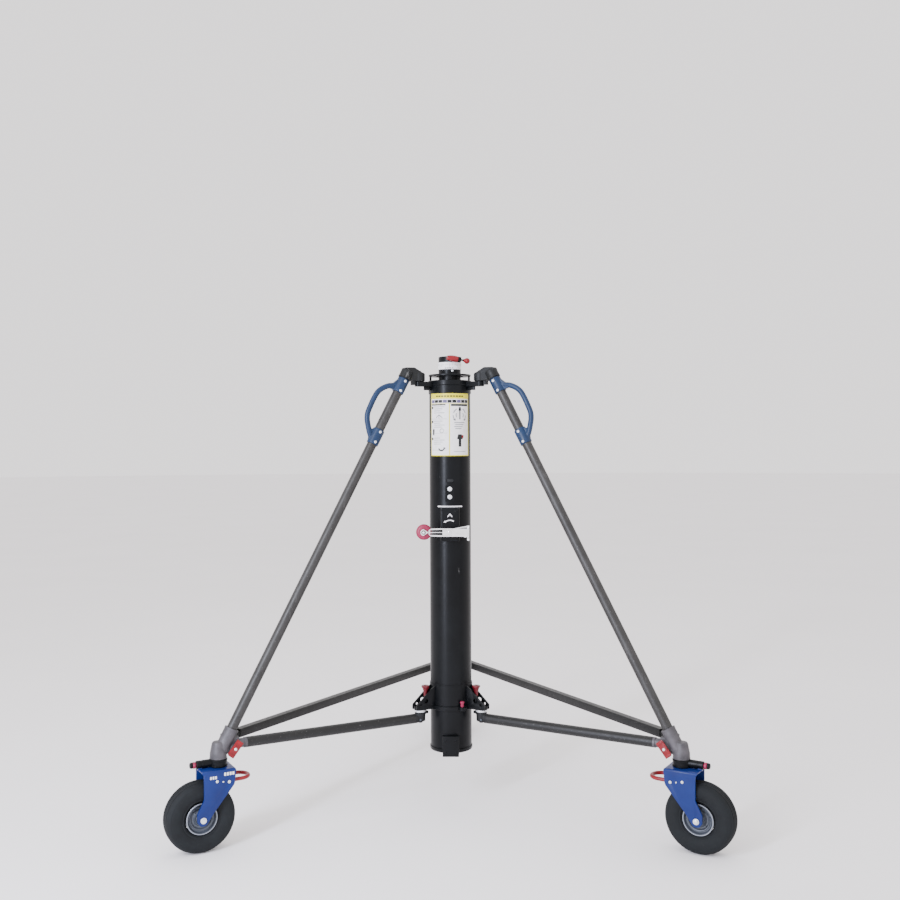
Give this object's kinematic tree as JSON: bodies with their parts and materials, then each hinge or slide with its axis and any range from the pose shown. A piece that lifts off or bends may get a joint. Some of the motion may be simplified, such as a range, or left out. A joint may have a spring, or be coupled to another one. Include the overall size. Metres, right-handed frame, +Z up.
{
  "type": "crank lighting stand",
  "caption": "Crank-up telescopic mast stand for heavy stage lamps: braced tripod legs that fold, pneumatic casters with brakes and swivel locks, spigot receiver on top.",
  "frame": {"origin": "on the floor, under the column's axis", "axes": "+Z up along the mast, -Y towards the crank side, +X to the right as seen from the crank"},
  "size_m": [2.0292, 1.7677, 1.8181],
  "materials": {
    "satin_black_steel": "satin black powder coat",
    "grey_leg_tube": "worn dark grey paint",
    "dark_brace_tube": "dark brown-grey paint",
    "grey_casting": "grey painted casting",
    "blue_paint": "gloss blue powder coat",
    "red_plastic": "red",
    "red_grip": "pinkish red moulded grip",
    "chrome_steel": "bright chrome",
    "bright_steel": "turned steel",
    "white_band": "white",
    "nylon": "natural nylon",
    "tyre_rubber": "near black rubber",
    "rim_steel": "grey pressed steel"
  },
  "bodies": {
    "base": {"outer_column": "satin_black_steel", "column_bottom_cap": "satin_black_steel", "mast_guide_ring": "nylon", "upper_collar": "satin_black_steel", "lower_collar": "satin_black_steel", "winch_housing": "satin_black_steel", "rear_hinge_arm": "satin_black_steel", "rear_leg_tube": "grey_leg_tube", "rear_carry_handle": "blue_paint", "rear_foot_casting": "grey_casting", "rear_swivel_lock": "satin_black_steel", "rear_lower_brace": "dark_brace_tube", "rear_brace_knuckle": "satin_black_steel"},
    "crank": {"winch_spool": "bright_steel", "crank_arm": "chrome_steel"},
    "knob": {"crank_knob": "red_grip"},
    "plunger": {"ring_plunger": "red_grip"},
    "stage_2": {"mast_stage_2": "bright_steel"},
    "stage_3": {"mast_stage_3": "satin_black_steel", "receiver_head": "satin_black_steel", "receiver_band": "white_band"},
    "clamp": {"clamp_screw": "red_plastic", "clamp_bar": "red_plastic"},
    "left_leg": {"left_hinge_arm": "satin_black_steel", "left_leg_tube": "grey_leg_tube", "left_carry_handle": "blue_paint", "left_foot_casting": "grey_casting", "left_swivel_lock": "satin_black_steel", "left_lower_brace": "dark_brace_tube", "left_brace_knuckle": "satin_black_steel"},
    "left_tie_bar": {"left_tie": "dark_brace_tube"},
    "left_lock_knob": {"left_pull_knob": "red_plastic"},
    "left_latch": {"left_foot_latch": "red_plastic"},
    "left_caster": {"left_caster_fork": "blue_paint", "left_axle": "bright_steel"},
    "left_brake": {"left_brake_loop": "red_plastic"},
    "left_wheel": {"left_wheel_rim": "rim_steel", "left_tyre": "tyre_rubber"},
    "right_leg": {"right_hinge_arm": "satin_black_steel", "right_leg_tube": "grey_leg_tube", "right_carry_handle": "blue_paint", "right_foot_casting": "grey_casting", "right_swivel_lock": "satin_black_steel", "right_lower_brace": "dark_brace_tube", "right_brace_knuckle": "satin_black_steel"},
    "right_tie_bar": {"right_tie": "dark_brace_tube"},
    "right_lock_knob": {"right_pull_knob": "red_plastic"},
    "right_latch": {"right_foot_latch": "red_plastic"},
    "right_caster": {"right_caster_fork": "blue_paint", "right_axle": "bright_steel"},
    "right_brake": {"right_brake_loop": "red_plastic"},
    "right_wheel": {"right_wheel_rim": "rim_steel", "right_tyre": "tyre_rubber"},
    "rear_lock_knob": {"rear_pull_knob": "red_plastic"},
    "rear_latch": {"rear_foot_latch": "red_plastic"},
    "rear_caster": {"rear_caster_fork": "blue_paint", "rear_axle": "bright_steel"},
    "rear_brake": {"rear_brake_loop": "red_plastic"},
    "rear_wheel": {"rear_wheel_rim": "rim_steel", "rear_tyre": "tyre_rubber"}
  },
  "joints": [
    {"name": "mast_lift", "type": "slide", "parent": "base", "child": "stage_2", "axis": [0, 0, 1], "range_m": [0, 1.2]},
    {"name": "inner_lift", "type": "slide", "parent": "stage_2", "child": "stage_3", "axis": [0, 0, 1], "range_m": [0, 1.2]},
    {"name": "crank_turn", "type": "hinge", "parent": "base", "child": "crank", "pos_m": [0, -0.1, 1.112], "axis": [0, -1, 0], "range_deg": [0, 8640]},
    {"name": "knob_spin", "type": "hinge", "parent": "crank", "child": "knob", "pos_m": [-0.103, -0.115, 1.112], "axis": [0, -1, 0], "continuous": true},
    {"name": "plunger_pull", "type": "slide", "parent": "base", "child": "plunger", "axis": [0, 0, 1], "range_m": [0, 0.008], "stiffness_N_per_m": 400, "springref_m": -0.004},
    {"name": "clamp_turn", "type": "hinge", "parent": "stage_3", "child": "clamp", "pos_m": [0.01881, -0.05168, 1.804], "axis": [0.342, -0.9397, 0], "range_deg": [-40, 200]},
    {"name": "left_leg_swing", "type": "hinge", "parent": "base", "child": "left_leg", "pos_m": [-0.12298, -0.071, 1], "axis": [0, 0, 1], "range_deg": [0, 50]},
    {"name": "left_tie_swing", "type": "hinge", "parent": "left_leg", "child": "left_tie_bar", "pos_m": [-0.79908, -0.41805, 0.392], "axis": [0, 0, 1], "range_deg": [-19, 0]},
    {"name": "left_knob_pull", "type": "slide", "parent": "base", "child": "left_lock_knob", "axis": [0, 0, 1], "range_m": [0, 0.012], "stiffness_N_per_m": 600, "springref_m": -0.004},
    {"name": "left_latch_turn", "type": "hinge", "parent": "left_leg", "child": "left_latch", "pos_m": [-0.77468, -0.48421, 0.357], "axis": [0.5, -0.866, 0], "range_deg": [0, 60]},
    {"name": "left_caster_swivel", "type": "hinge", "parent": "left_leg", "child": "left_caster", "pos_m": [-0.83658, -0.483, 0.3], "axis": [0, 0, 1], "continuous": true},
    {"name": "left_wheel_spin", "type": "hinge", "parent": "left_caster", "child": "left_wheel", "pos_m": [-0.8972, -0.518, 0.126], "axis": [0.5, -0.866, 0], "continuous": true},
    {"name": "left_brake_press", "type": "hinge", "parent": "left_caster", "child": "left_brake", "pos_m": [-0.8158, -0.471, 0.25], "axis": [0.5, -0.866, 0], "range_deg": [-12, 0]},
    {"name": "right_leg_swing", "type": "hinge", "parent": "base", "child": "right_leg", "pos_m": [0.12298, -0.071, 1], "axis": [0, 0, 1], "range_deg": [-50, 0]},
    {"name": "right_tie_swing", "type": "hinge", "parent": "right_leg", "child": "right_tie_bar", "pos_m": [0.79908, -0.41805, 0.392], "axis": [0, 0, 1], "range_deg": [0, 19]},
    {"name": "right_knob_pull", "type": "slide", "parent": "base", "child": "right_lock_knob", "axis": [0, 0, 1], "range_m": [0, 0.012], "stiffness_N_per_m": 600, "springref_m": -0.004},
    {"name": "right_latch_turn", "type": "hinge", "parent": "right_leg", "child": "right_latch", "pos_m": [0.77468, -0.48421, 0.357], "axis": [0.5, 0.866, 0], "range_deg": [0, 60]},
    {"name": "right_caster_swivel", "type": "hinge", "parent": "right_leg", "child": "right_caster", "pos_m": [0.83658, -0.483, 0.3], "axis": [0, 0, 1], "continuous": true},
    {"name": "right_wheel_spin", "type": "hinge", "parent": "right_caster", "child": "right_wheel", "pos_m": [0.8972, -0.518, 0.126], "axis": [0.5, 0.866, 0], "continuous": true},
    {"name": "right_brake_press", "type": "hinge", "parent": "right_caster", "child": "right_brake", "pos_m": [0.8158, -0.471, 0.25], "axis": [0.5, 0.866, 0], "range_deg": [-12, 0]},
    {"name": "rear_knob_pull", "type": "slide", "parent": "base", "child": "rear_lock_knob", "axis": [0, 0, 1], "range_m": [0, 0.012], "stiffness_N_per_m": 600, "springref_m": -0.004},
    {"name": "rear_latch_turn", "type": "hinge", "parent": "base", "child": "rear_latch", "pos_m": [-0.032, 0.918, 0.336], "axis": [-1, 0, 0], "range_deg": [0, 60]},
    {"name": "rear_caster_swivel", "type": "hinge", "parent": "base", "child": "rear_caster", "pos_m": [0, 0.966, 0.3], "axis": [0, 0, 1], "continuous": true},
    {"name": "rear_wheel_spin", "type": "hinge", "parent": "rear_caster", "child": "rear_wheel", "pos_m": [0, 1.036, 0.126], "axis": [-1, 0, 0], "continuous": true},
    {"name": "rear_brake_press", "type": "hinge", "parent": "rear_caster", "child": "rear_brake", "pos_m": [0, 0.942, 0.25], "axis": [-1, 0, 0], "range_deg": [-12, 0]}
  ],
  "couplings": [
    {"joint": "inner_lift", "follows": "mast_lift", "ratio": 1},
    {"joint": "crank_turn", "follows": "mast_lift", "rad_per_m": 125.66},
    {"joint": "left_tie_swing", "follows": "left_leg_swing", "ratio": -0.38},
    {"joint": "right_tie_swing", "follows": "right_leg_swing", "ratio": -0.38}
  ]
}
